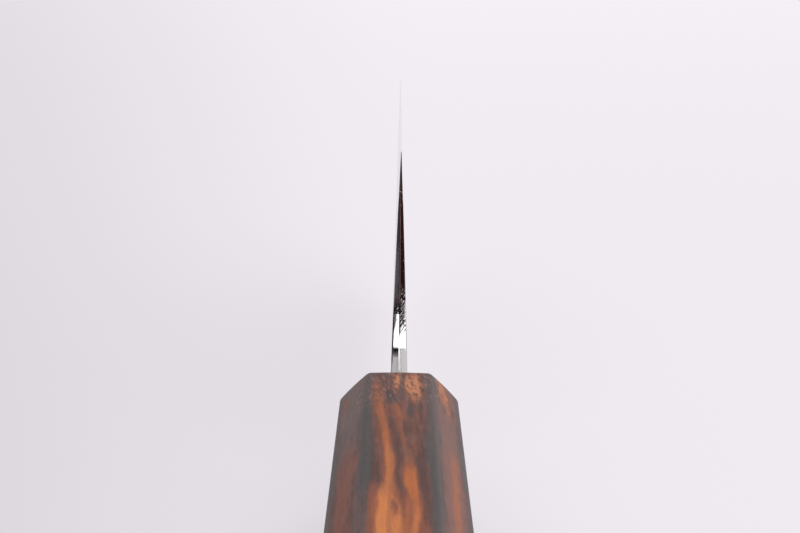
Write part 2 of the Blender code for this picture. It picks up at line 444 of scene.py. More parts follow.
def add_dark_sheets():
    """Each sheet's corners are all pairs of its sides with the points of its profile."""
    near, seam, back = ((y, MM) for y in (NEAR_CLOTH_Y, CLOTH_SEAM_Y, FAR_CLOTH_Y))
    left, middle, right = -CLOTH_EDGE, DARK_CLOTH_LEFT, CLOTH_EDGE
    for name, sides, profile, colour in (
        ("grey_cloth", (left, middle), [near, seam], GREY_CLOTH),
        ("dull_cloth", (left, middle), [seam, back, (FAR_CLOTH_Y, DULL_CLOTH_TOP)], DULL_CLOTH),
        ("dark_cloth", (middle, right), [near, back, (FAR_CLOTH_Y, DARK_CLOTH_TOP)], DARK_CLOTH),
    ):
        mirrored_sheet(name, [[(x, y, z) for x in sides] for y, z in profile], colour)
    stand = [[(x, FAR_CLOTH_Y + MM, z) for x in sides] for z, *sides in STAND]
    mirrored_sheet("stand", stand, STAND_COLOUR)
    screen = [[(SCREEN_X, y, z) for y in (FAR_CLOTH_Y, SCREEN_NEAR_Y)] for z in (MM, SCREEN_HEIGHT)]
    mirrored_sheet("screen", screen, SCREEN_COLOUR)
    for start, end, grey in zip(FLAG_ENDS, FLAG_ENDS[1:], FLAG_GREYS):
        flag = [[(x, y, FLAG_HEIGHT) for x in FLAG_SIDES] for y in (start, end)]
        mirrored_sheet("flag", flag, (grey, grey, grey))
    for name, rows, colour, glow in (
        ("rod", ROD, STAND_COLOUR, 0.0), ("white_card", CARD, CARD_COLOUR, CARD_GLOW)
    ):
        overhead = [[(x, y, FLAG_HEIGHT) for x in sides] for y, *sides in rows]
        mirrored_sheet(name, overhead, colour, glow)


add_dark_sheets()
hidden = [made for made in bpy.data.objects if made.type == "MESH" and not made.visible_camera]
print("sheets that only reflections see:", len(hidden))

# %% [markdown]
# The handle is an octagon that was planed flat on eight sides and then sanded, which leaves its
# corners round and its facets a trace fuller in the middle. A plain box with bevels would give
# dead flat facets, so the section is worked out instead: eight lines, a small arc at each corner
# and a swell on each flat. It is carried along the handle while it grows towards the butt.

# %% Section of the handle
FRONT_SECTION = np.array([19.2 * MM, HANDLE_FRONT_HEIGHT, 4.6 * MM])
BUTT_SECTION = np.array([21.8, 26.1, 5.2]) * MM
CORNER_RADIUS = 1.25 * MM
FACET_SWELL = 0.09 * MM
END_EASE = 0.8 * MM
CORNER_POINTS = 9
FACET_POINTS = 7


def octagon(along, inset):
    """Rings of (across, up): for each side the distance of its line from the axis, less the inset.

    The arc at a corner turns round the point where both lines, moved in by the radius, cross.
    A flat runs straight between two arcs and swells by 4 s (1 - s) of the facet's swell.
    """
    share = np.clip(-along / HANDLE_LENGTH, 0, 1)[:, None]
    width, height, chamfer = (FRONT_SECTION + (BUTT_SECTION - FRONT_SECTION) * share).T
    slant = (width + height) / 2 - chamfer
    lines = np.stack([width / 2, slant / 2**0.5, height / 2, slant / 2**0.5] * 2, axis=1)
    lines = lines - inset[:, None] - CORNER_RADIUS - FACET_SWELL
    angle = np.arange(8) * np.pi / 4
    normal = np.stack([np.cos(angle), np.sin(angle)], -1)
    tangent = np.stack([-np.sin(angle), np.cos(angle)], -1)
    following = np.roll(lines, -1, axis=1)
    reach = (following - lines * np.cos(np.pi / 4)) / np.sin(np.pi / 4)
    centre = lines[..., None] * normal + reach[..., None] * tangent
    turn = angle[:, None] + np.linspace(0, np.pi / 4, CORNER_POINTS)
    arcs = centre[:, :, None] + CORNER_RADIUS * np.stack([np.cos(turn), np.sin(turn)], -1)
    start, end = np.roll(arcs, 1, axis=1)[:, :, -1:], arcs[:, :, :1]
    s = (np.arange(1, FACET_POINTS + 1) / (FACET_POINTS + 1))[:, None]
    flats = start + (end - start) * s + FACET_SWELL * 4 * (s * (1 - s)) * normal[:, None]
    ring = np.concatenate([flats, arcs], axis=2)
    return ring.reshape(len(along), -1, 2)


print("octagon of", octagon(np.zeros(1), np.zeros(1)).shape[1], "points")

# %% [markdown]
# The tang sits in a slot that was drilled and chiselled from the front, with half-round ends. A
# Boolean could cut it, but that leaves long thin faces round the mouth. Here the slot is a part of
# the same surface: the front face narrows from the octagon down to the slot, and the slot's wall
# runs on into the wood.

# %% Slot for the tang
SPINE_THICKNESS = 2.82 * MM
NECK_HEIGHT = 11.5 * MM
TANG_LENGTH = 92.0 * MM
TANG_END_HEIGHT = 6.0 * MM
SLOT_MARGIN = 0.95 * MM
SLOT_END = 4.0 * MM


def tang_height(along):
    """As high as the neck at the mouth, and tapering evenly to the tang's end."""
    share = np.clip(-along / TANG_LENGTH, 0, 1)
    return NECK_HEIGHT + (TANG_END_HEIGHT - NECK_HEIGHT) * share


def slot(along, share):
    """Rings of (across, up): the outline of a slot, read at shares of its length round.

    A quarter of it is half a straight side and then a quarter circle. The other three quarters
    are the same with the signs changed.
    """
    radius = SPINE_THICKNESS / 2 + SLOT_MARGIN
    straight = (tang_height(along)[:, None] / 2 + SLOT_MARGIN) - radius
    quarter = np.floor(share * 4).astype(int) % 4
    part = share * 4 % 1
    part = np.where(quarter % 2 == 0, part, 1 - part)
    run = part * (straight + radius * np.pi / 2)
    turn = np.clip((run - straight) / radius, 0, None)
    across = radius * np.cos(turn)
    up = np.where(run < straight, run, straight + radius * np.sin(turn))
    return np.stack([
        across * np.array([1, -1, -1, 1])[quarter], up * np.array([1, 1, -1, -1])[quarter]
    ], axis=-1)


corners = slot(np.zeros(1), np.array([0, 0.25]))[0]
print("slot at the mouth, mm:", np.round(2 * np.array([corners[0, 0], corners[1, 1]]) / MM, 2))

# %% [markdown]
# Now the handle's path: out of the slot, over the front face, round the eased front edge, along
# the body, round the butt's edge and in to the middle of the butt. One path gives one grid of
# rings, so nothing has to be joined but a small lid at the slot's bottom and one on the butt.

# %% Handle
BODY_RINGS = 60
EASE_RINGS = 8
FACE_RINGS = 9
BUTT_LID_SHARE = 0.02
FAR_FROM_CORNER = 9.0


def shares_round(ring):
    """How far round a closed ring each of its points lies, from the first point on the right."""
    step = np.linalg.norm(np.roll(ring, -1, axis=0) - ring, axis=1)
    before = np.concatenate([[0], np.cumsum(step)[:-1]])
    lead = np.arctan2(ring[0, 1], ring[0, 0]) / (2 * np.pi)
    return (before / step.sum() + lead) % 1


def from_corner(rings):
    """Millimetres from each point of the octagons to the middle of the nearest corner's arc."""
    sides = rings.reshape(len(rings), 8, -1, 2)
    corners = sides[:, :, FACET_POINTS + CORNER_POINTS // 2]
    gaps = np.linalg.norm(rings[:, :, None] - corners[:, None], axis=-1)
    return gaps.min(axis=-1) / MM


def make_handle():
    """Rings of (across, up) at their places along, from the slot's bottom to the butt's middle.

    The ease is a quarter circle: its sine moves the ring along, its cosine sets it in. The front
    face blends evenly from the slot's outline to the octagon.
    """
    turn = np.linspace(np.pi / 2, 0, EASE_RINGS)
    ease_along = -END_EASE * (1 - np.sin(turn))
    ease_inset = END_EASE * (1 - np.cos(turn))
    body = np.linspace(-END_EASE, END_EASE - HANDLE_LENGTH, BODY_RINGS)[1:-1]
    along = np.concatenate([ease_along, body, (-HANDLE_LENGTH - ease_along)[::-1]])
    inset = np.concatenate([ease_inset, np.zeros(len(body)), ease_inset[::-1]])
    outer = octagon(along, inset)
    share = shares_round(outer[0])
    depth = np.linspace(-TANG_LENGTH - SLOT_END, 0, BODY_RINGS)
    wall = slot(depth, share)
    blend = np.linspace(1, 0, FACE_RINGS)[1:-1, None, None]
    face = wall[-1] * blend + outer[0] * (1 - blend)
    butt = outer[-1] * np.linspace(1, BUTT_LID_SHARE, FACE_RINGS)[1:, None, None]
    rings = np.concatenate([wall, face, outer, butt])
    places = np.concatenate([depth, np.zeros(len(face)), along, np.full(len(butt), along[-1])])
    far = np.full(rings.shape[:2], FAR_FROM_CORNER)
    first_outer = len(wall) + len(face)
    far[first_outer:first_outer + len(outer)] = from_corner(outer)
    rings = np.concatenate([rings, rings[:, :1]], axis=1)
    far = np.concatenate([far, far[:, :1]], axis=1)
    return make_piece("handle_wood", [(place(rings[..., 0], places[:, None], rings[..., 1]), far)])


handle = make_handle()
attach(handle, "root")
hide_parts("handle")

# %% [markdown]
# The blade was forged from three layers, a hard core between two softer sides, and then ground.
# Seen from the side it has a straight spine that is clipped towards the tip, an edge with a slight
# belly, and a round choil in front of the neck. These outlines are functions of "along", because
# every other line of the blade, such as its bevel and its weld, is measured from them.

# %% Profile of the blade
EDGE_LENGTH = 165.0 * MM
HEEL_HEIGHT = 50.0 * MM
TIP_DROP = 13.5 * MM
BELLY_POWER = 2.3
CLIP_RUN = 45.0 * MM
CLIP_CORNER_RADIUS = 6.0 * MM
NECK_LENGTH = 3.5 * MM
CHOIL_RADIUS = 14.0 * MM
TIP_ROUND = 0.15 * MM
HEEL_Y = NECK_LENGTH + CHOIL_RADIUS
TIP_Y = HEEL_Y + EDGE_LENGTH
SPINE_Z = -NECK_HEIGHT / 2
HEEL_Z = SPINE_Z + HEEL_HEIGHT
TIP_Z = HEEL_Z - TIP_DROP
CLIP_Y = TIP_Y - CLIP_RUN
CHOIL_TOP = NECK_HEIGHT / 2 + CHOIL_RADIUS


def edge_up(along):
    """Level at the heel, then a belly: the drop grows with a power of the share of the edge."""
    share = np.clip((along - HEEL_Y) / EDGE_LENGTH, 0, None)
    return HEEL_Z - TIP_DROP * share**BELLY_POWER


def spine_up(along):
    """Level, then a straight clip up to the tip, with a round arc where the two lines meet."""
    slope = (TIP_Z - SPINE_Z) / CLIP_RUN
    bend = np.arctan(slope)
    reach = CLIP_CORNER_RADIUS * np.tan(bend / 2)
    start, end = CLIP_Y - reach, CLIP_Y + reach * np.cos(bend)
    drop = np.sqrt(np.clip(CLIP_CORNER_RADIUS**2 - (along - start)**2, 0, None))
    arc = SPINE_Z + CLIP_CORNER_RADIUS - drop
    clip = SPINE_Z + (along - CLIP_Y) * slope
    return np.where(along < start, SPINE_Z, np.where(along < end, arc, clip))


print(f"heel {HEEL_Z - SPINE_Z:.4f} high, edge {TIP_Y - HEEL_Y:.4f} long")

# %% [markdown]
# Thickness comes next. The billet thins evenly towards the tip, and a wide, slightly convex bevel
# runs from below the spine to a fine cutting bevel. The weld between core and side was hammered,
# so it isn't quite flat: it wanders by a few hundredths of a millimetre. Where the bevel cuts
# through it, that small wandering shows as the long wavy line along the finished blade. Sculpting
# could thin a flat blade too, but only a formula can be solved for the height of that line.

# %% Thickness of the blade
TIP_THICKNESS = 1.20 * MM
CORE_THICKNESS = 0.80 * MM
BEVEL_HEIGHT = 37.0 * MM
BEVEL_CONVEXITY = 0.15
THICKNESS_BEHIND_EDGE = 0.10 * MM
EDGE_HALF_ANGLE = radians(13)
SOFT_RIDGE = 0.006 * MM
WELD_WANDER = 0.016 * MM
WELD_WAVES = [(41 * MM, 1.0, 0.4), (17.3 * MM, 0.9, 2.1), (9.1 * MM, 0.55, 4.0), (4.7 * MM, 0.25, 1.3)]
CUTTING_DEPTH = THICKNESS_BEHIND_EDGE / 2 / np.tan(EDGE_HALF_ANGLE)


def billet_half(along):
    """Half the billet's thickness, which falls evenly from the heel to the tip."""
    share = np.clip((along - HEEL_Y) / EDGE_LENGTH, 0, None)
    return (SPINE_THICKNESS + (TIP_THICKNESS - SPINE_THICKNESS) * share) / 2


def weld_half(along):
    """Half of the core: a fixed share of the billet, plus a sum of long and short waves."""
    share = CORE_THICKNESS / SPINE_THICKNESS
    waves = sum(size * np.sin(2 * np.pi * along / length + turn) for length, size, turn in WELD_WAVES)
    return billet_half(along) * share + WELD_WANDER * waves


def bevel_reach(along):
    """The bevel without the cutting bevel: the same share of the blade's height everywhere."""
    return BEVEL_HEIGHT * (edge_up(along) - SPINE_Z) / HEEL_HEIGHT - CUTTING_DEPTH


def ground_half(along, up):
    """Half thickness after grinding, with q the depth below the edge as a share of the bevel.

    The bevel follows q (1 + k (1 - q)), the cutting bevel a straight line, and the billet's own
    thickness ends the bevel with a slightly softened ridge.
    """
    behind = THICKNESS_BEHIND_EDGE / 2
    depth = edge_up(along) - up
    q = (depth - CUTTING_DEPTH) / bevel_reach(along)
    gain = billet_half(along) - behind
    bevel = behind + gain * q * (1 + BEVEL_CONVEXITY * (1 - q))
    cutting = np.clip(depth, 0, None) * np.tan(EDGE_HALF_ANGLE)
    bevel = np.where(depth < CUTTING_DEPTH, cutting, bevel)
    gap = (billet_half(along) - bevel) / SOFT_RIDGE
    return billet_half(along) - SOFT_RIDGE * np.logaddexp(0, gap)


def weld_up(along):
    """Height where the bevel cuts through the weld: the same formula solved for q."""
    behind = THICKNESS_BEHIND_EDGE / 2
    swell = (weld_half(along) - behind) / (billet_half(along) - behind)
    k = BEVEL_CONVEXITY
    q = ((1 + k) - np.sqrt((1 + k)**2 - 4 * k * swell)) / (2 * k)
    return edge_up(along) - CUTTING_DEPTH - bevel_reach(along) * q


stations = np.linspace(HEEL_Y, TIP_Y, 9)
print("weld line below the edge, mm:", np.round((edge_up(stations) - weld_up(stations)) / MM, 1))

# %% [markdown]
# Each layer is drawn on one net of (along, up) points. The net has two parts that share the column
# at the heel: a rear part for tang, neck and choil, whose columns fan out to meet the choil's arc,
# and a fore part for the blade. The rows run from the spine to the top of the layer. Cutting the
# outline out of an even grid would leave slivers along the arc, which show when polished.

# %% Net of the blade
TANG_STATIONS = 30
CHOIL_STATIONS = 72
BLADE_STATIONS = 170
LOW_ROWS = 14
MIDDLE_ROWS = 16
BEVEL_ROWS = 12


def rows_between(start, end, count):
    """Evenly spaced rows from one height to the next, for every column."""
    return start[:, None] + (end - start)[:, None] * np.linspace(0, 1, count + 1)


def columns_at(along, up):
    """Points (along, up) of columns that stand upright."""
    return np.stack([np.broadcast_to(along[:, None], up.shape), up], axis=-1)


def rear_net():
    """Tang, neck and choil: each column is a straight line from its foot to its top."""
    tang = np.linspace(-TANG_LENGTH, 0, TANG_STATIONS)
    turn = np.linspace(0, np.pi / 2, CHOIL_STATIONS)
    foot = np.concatenate([tang, NECK_LENGTH + CHOIL_RADIUS * np.linspace(0, 1, CHOIL_STATIONS)])
    top = np.concatenate([tang, NECK_LENGTH + CHOIL_RADIUS * np.sin(turn)])
    foot_up = -tang_height(foot) / 2
    top_up = np.concatenate([tang_height(tang) / 2, CHOIL_TOP - CHOIL_RADIUS * np.cos(turn)])
    return np.stack([rows_between(foot, top, LOW_ROWS), rows_between(foot_up, top_up, LOW_ROWS)], -1)


def fore_net(top, last):
    """Blade ahead of the heel. The lowest rows keep the choil's share of the height."""
    along = np.linspace(HEEL_Y, last, BLADE_STATIONS)
    low = spine_up(along)
    high = top(along)
    share = (CHOIL_TOP - SPINE_Z) / (high[0] - SPINE_Z)
    middle = low + (high - low) * share
    up = np.concatenate([
        rows_between(low, middle, LOW_ROWS), rows_between(middle, high, MIDDLE_ROWS)[:, 1:]
    ], axis=1)
    return columns_at(along, up)


def add_bevel_rows(net):
    """The core goes on above the weld: rows to the shoulder of the cutting bevel, and the edge."""
    along = net[:, -1, 0]
    shoulder = np.maximum(edge_up(along) - CUTTING_DEPTH, net[:, -1, 1])
    bevel = rows_between(net[:, -1, 1], shoulder, BEVEL_ROWS)[:, 1:]
    up = np.concatenate([bevel, edge_up(along)[:, None]], axis=1)
    return np.concatenate([net, columns_at(along, up)], axis=1)


print("rear net", rear_net().shape)

# %% [markdown]
# Choil, neck and spine were filed from both sides and polished, so no thumb meets a sharp corner.
# Two filings leave two nearly flat halves that lean away from a soft ridge down the middle, and
# each outer corner is eased once more. A Bevel modifier would round the corners alone. In the net
# it is an inset: a point of the rim moves inwards, further the nearer it is to the side. The lean
# decides what the polish mirrors.

# %% Rounded rim
RIM_LEAN = radians(7.5)
RIDGE_SOFTNESS = 0.12 * MM
RIM_EASE = 0.28 * MM
EASE_WALL_SHARE = 0.35
LEAN_STEPS = 13
LEAN_CROWDING = 1.6
EASE_STEPS = 5


def rim_profile(inner, outer, ease):
    """(across, inset) from the inner to the outer face: half a ridge, then a quarter round.

    The ridge is a hyperbola: the lean times the root of across squared and softness squared.
    """
    s = np.linspace(0, 1, LEAN_STEPS)**LEAN_CROWDING
    turn = np.linspace(0, np.pi / 2, EASE_STEPS)[1:]
    inner, outer, ease = (value[:, None] for value in (inner, outer, ease))
    across = np.concatenate([
        inner + (outer - ease - inner) * s, outer - ease + ease * np.sin(turn)
    ], axis=1)
    drop = np.concatenate([0 * s, 1 - np.cos(turn)])
    ridge = np.sqrt(across**2 + RIDGE_SOFTNESS**2) - RIDGE_SOFTNESS
    return across, np.tan(RIM_LEAN) * ridge + ease * drop


def inward(loop):
    """Unit normals of an open line of (along, up) points that has the steel on its left."""
    step = np.gradient(loop, axis=0)
    normal = np.stack([-step[:, 1], step[:, 0]], axis=-1)
    length = np.linalg.norm(normal, axis=1, keepdims=True)
    return normal / np.maximum(length, WELD_DISTANCE)


def rim_of(rear, fore):
    """The rim as one line: down the heel, back along choil and tang, and forward along the spine."""
    return np.concatenate([
        fore[0, :LOW_ROWS:-1], rear[::-1, -1], rear[0, -2:0:-1], rear[:, 0], fore[1:, 0], fore[-1, 1:]
    ])


half = SPINE_THICKNESS / 2
lean = rim_profile(np.zeros(1), np.array([half]), np.array([RIM_EASE]))[1][0] / MM
print("inset of the rim from the middle to the side, mm:", np.round(lean, 2))

# %% [markdown]
# Points next to the rim have to give way when the rim moves in, or the net would fold over itself.
# So the inset fades out: evenly from top to bottom in the rear part and along the lowest rows, and
# over a few millimetres ahead of the heel.

# %% Letting the net give way
HEEL_FADE = 8.0 * MM


def spread(shift, rear, fore):
    """Shifts of every point of both nets, from those of the rim line."""
    rows = fore.shape[1]
    counts = [rows - LOW_ROWS - 1, len(rear), LOW_ROWS - 1, len(rear), len(fore) - 1, rows - 1]
    heel, top, end, bottom, spine, tip = np.split(shift, np.cumsum(counts)[:-1])
    up_share = np.linspace(0, 1, LOW_ROWS + 1)[None, :, None]
    rear_shift = top[::-1, None] * up_share + bottom[:, None] * (1 - up_share)
    rear_shift[0, 1:-1] = end[::-1]
    column = np.concatenate([rear_shift[-1], heel[::-1]])
    low_share = np.clip(1 - np.arange(rows) / LOW_ROWS, 0, 1)[None, :, None]
    lowest = np.concatenate([bottom[-1:], spine])[:, None]
    near = np.clip(1 - (fore[:, 0, 0] - HEEL_Y) / HEEL_FADE, 0, 1)[:, None, None]
    fore_shift = lowest * low_share + near * (column[None] - lowest[:1] * low_share)
    fore_shift[-1, 1:] = tip
    return rear_shift, fore_shift


def above_weld(points):
    """Millimetres above the weld line, the mark that the steel's finish reads."""
    return (points[..., 1] - weld_up(points[..., 0])) / MM


def layer_patches(rear, fore, inner_half, outer_half, ease_of, side, closed_inside):
    """Side sheets and rim of one layer: the outer ones, and the inner ones where it has them."""
    line = rim_of(rear, fore)
    inner, outer = inner_half(line), outer_half(line)
    across, inset = rim_profile(inner, outer, ease_of(line, inner, outer))
    normal = inward(line)
    rim = line[:, None] + normal[:, None] * inset[..., None]
    marks = np.broadcast_to(above_weld(line)[:, None], inset.shape)
    patches = [(place(side * across, rim[..., 0], rim[..., 1]), marks)]
    faces = [(outer_half, inset[:, -1]), (inner_half, inset[:, 0])]
    for half, edge_inset in faces if closed_inside else faces[:1]:
        for net, shift in zip((rear, fore), spread(normal * edge_inset[:, None], rear, fore)):
            moved = net + shift
            patches.append((place(side * half(net), moved[..., 0], moved[..., 1]), above_weld(net)))
    return patches


print("rim line of", len(rim_of(rear_net(), fore_net(weld_up, CLIP_Y))), "points")

# %% [markdown]
# The two sides end where the clip meets the weld line. The core goes on to the tip and up to the
# cutting edge, where its two faces meet. One half is worked out and used for both of its faces,
# with the sign of "across" changed, so that left and right match and meet without a seam.

# %% Core and sides
CORE_EASE_SHARE = 0.3
TOP_SHARE_AT_TIP = 0.3
CLIP_SAMPLES = 2000


def weld_of(points):
    """Half the core, at points (along, up)."""
    return weld_half(points[..., 0])


def ground_of(points):
    """Half the ground blade, at points (along, up)."""
    return ground_half(points[..., 0], points[..., 1])


def core_of(points):
    """The core reaches to the weld, and above it to the ground surface."""
    return np.minimum(weld_of(points), ground_of(points))


def middle_of(points):
    """The core's two halves meet at zero."""
    return np.zeros(points.shape[:-1])


def side_ease(line, inner, outer):
    """The full ease, or a share of the side's thickness where the side is thin."""
    return np.minimum(RIM_EASE, EASE_WALL_SHARE * (outer - inner))


def core_ease(line, inner, outer):
    """None where a side lies on the core, and then growing with the height above the weld."""
    bare = np.clip(above_weld(line) * MM, 0, None)
    return np.minimum(RIM_EASE, CORE_EASE_SHARE * np.minimum(outer, bare))


def core_top(along):
    """The weld line, or near the tip a share of the way from the clip to the cutting bevel."""
    low = spine_up(along)
    shoulder = np.maximum(edge_up(along) - CUTTING_DEPTH, low)
    return np.maximum(weld_up(along), low + (shoulder - low) * TOP_SHARE_AT_TIP)


def make_blade():
    """The sides end where the clip's line and the weld's line have the same height."""
    samples = np.linspace(CLIP_Y, TIP_Y, CLIP_SAMPLES)
    side_end = np.interp(0, spine_up(samples) - weld_up(samples), samples)
    rear = rear_net()
    fore = fore_net(weld_up, side_end)
    core_fore = add_bevel_rows(fore_net(core_top, TIP_Y - TIP_ROUND))
    made = {}
    core = []
    for name, side in (("cladding_left", -1), ("cladding_right", 1)):
        patches = layer_patches(rear, fore, weld_of, ground_of, side_ease, side, True)
        made[name] = make_piece(name + "_steel", patches)
        core += layer_patches(rear, core_fore, middle_of, core_of, core_ease, side, False)
    made["blade_core"] = make_piece("core_steel", core)
    return made


blade = make_blade()
for node, piece in blade.items():
    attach(piece, "root")
    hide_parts(node)

# %% [markdown]
# A Finish is one material of the knife. It adds what surfaces need: chance values in spots of a
# given size, bent coordinates, ramps of colour, smooth lines through a few knots, and bumps. A
# picture could be wrapped round each piece instead, but a worked-out finish has no seams, runs on
# through the corners as the grain does, and stays sharp close up.

# %% Finishes
CURVE_SPAN = 150.0
CURVE_REACH = 10.0


class Finish(Nodes):
    """One material. Lengths in its calls are millimetres, from the mouth and the axis."""

    def __init__(self, name):
        self.material = bpy.data.materials.new(name)
        self.material.use_nodes = True
        super().__init__(self.material.node_tree)
        shifted = self.vector("SUBTRACT", self.node("TexCoord", "Object"), (0.0, MOUTH_Y, AXIS_Z))
        self.where = self.vector("MULTIPLY", shifted, (1 / MM,) * 3)
        self.across, self.ahead, self.up = self.split(self.where)

    def mark(self):
        """The mark that make_piece left on the mesh."""
        return self.node("Attribute", "Fac", attribute_name="mark")

    def facing(self):
        """How far the surface faces right, ahead and up, each from -1 to 1."""
        return self.split(self.node("NewGeometry", "Normal"))

    def noise(self, size, seed, detail=2.0, where=None, output=0):
        """Smooth chance values about one half, in spots of the given size in millimetres."""
        shares = tuple(1 / length for length in size)
        spots = self.vector("MULTIPLY_ADD", where or self.where, shares, (seed, 2 * seed, 3 * seed))
        return self.node("TexNoise", output, {"Vector": spots, "Scale": 1.0, "Detail": detail})

    def bent(self, where, size, seed, by):
        """The point moved by up to half of "by", so that straight lines come out wavy."""
        chance = self.noise(size, seed, where=where, output=1)
        centred = self.vector("SUBTRACT", chance, (0.5, 0.5, 0.5))
        return self.vector("MULTIPLY_ADD", centred, by, where)

    def ramp(self, value, stops):
        """A colour that turns evenly from stop to stop, each a pair of a value and a colour."""
        colour = self.node("ValToRGB", 0, {0: value})
        elements = colour.socket.node.color_ramp.elements
        for _ in stops[2:]:
            elements.new(0.5)
        for element, (share, stop) in zip(elements, stops):
            element.position = share
            element.color = (*stop, 1.0)
        return colour

    def curves(self, value, knots):
        """Three smooth lines through knots (value, first, second, third), level beyond the ends."""
        share = value * (1 / CURVE_SPAN)
        shares = self.node("CombineXYZ", 0, {0: share, 1: share, 2: share})
        lines = self.node("VectorCurve", 0, {"Vector": shares})
        mapping = lines.socket.node.mapping
        mapping.extend = "HORIZONTAL"
        for column, line in enumerate(mapping.curves, 1):
            for _ in knots[2:]:
                line.points.new(0.5, 0.5)
            for point, knot in zip(line.points, knots):
                point.location = (knot[0] / CURVE_SPAN, knot[column] / CURVE_REACH)
                point.handle_type = "AUTO_CLAMPED"
        mapping.update()
        return self.split(self.vector("SCALE", lines, CURVE_REACH))

    def bump(self, height, depth, strength, **before):
        """Turns a height from 0 to 1 into tilted light, with the depth in millimetres."""
        inputs = {"Height": height, "Distance": depth * MM, "Strength": strength}
        return self.node("Bump", 0, {**inputs, **before})

    def finished(self, **inputs):
        """The material, with its fields plugged into the shader that Blender calls principled."""
        self.set("Principled BSDF", **inputs)
        print(f"{self.material.name}: {len(self.tree.nodes)} nodes")
        return self.material


print("a finish adds to the node tree:", [key for key in vars(Finish) if key[0] != "_"])
